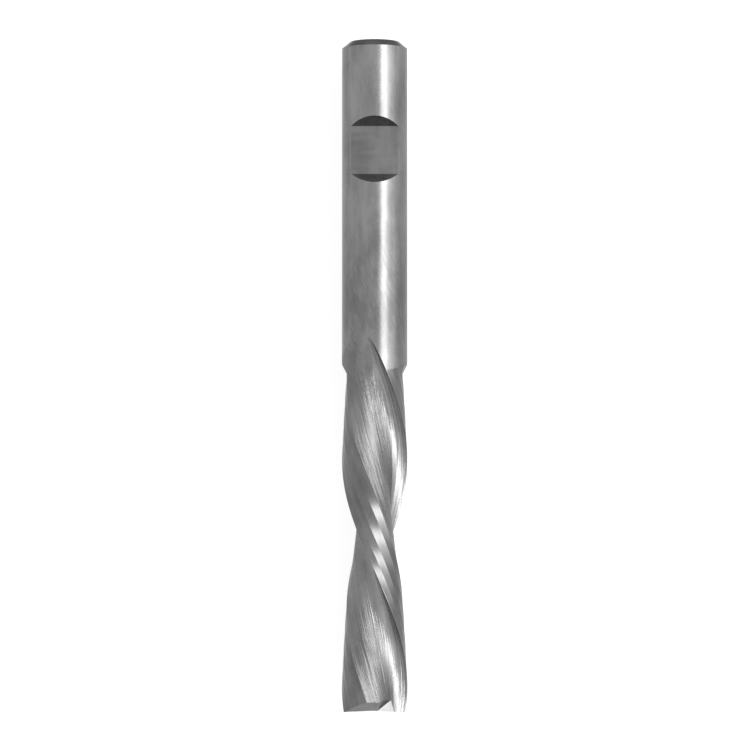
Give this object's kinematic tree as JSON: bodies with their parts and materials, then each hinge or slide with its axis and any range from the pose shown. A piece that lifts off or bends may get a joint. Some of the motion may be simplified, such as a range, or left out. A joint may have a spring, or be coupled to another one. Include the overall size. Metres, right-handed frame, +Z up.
{
  "type": "spiral end mill",
  "caption": "Long spiral end mill with a plain round shank, a clamping flat, left-hand flutes with faceted lands and gashed end teeth.",
  "frame": {"origin": "under the middle of the lying tool, on the surface it rests on", "axes": "+Y along the tool to the shank end, +Z up and out of the clamping flat, +X to the right with the shank end away from the viewer"},
  "size_m": [0.012, 0.123, 0.012],
  "materials": {
    "ground_steel": "finely ground steel, satin on the shank and streaked along the flutes"
  },
  "bodies": {
    "root": {"end_mill": "ground_steel"}
  },
  "joints": []
}
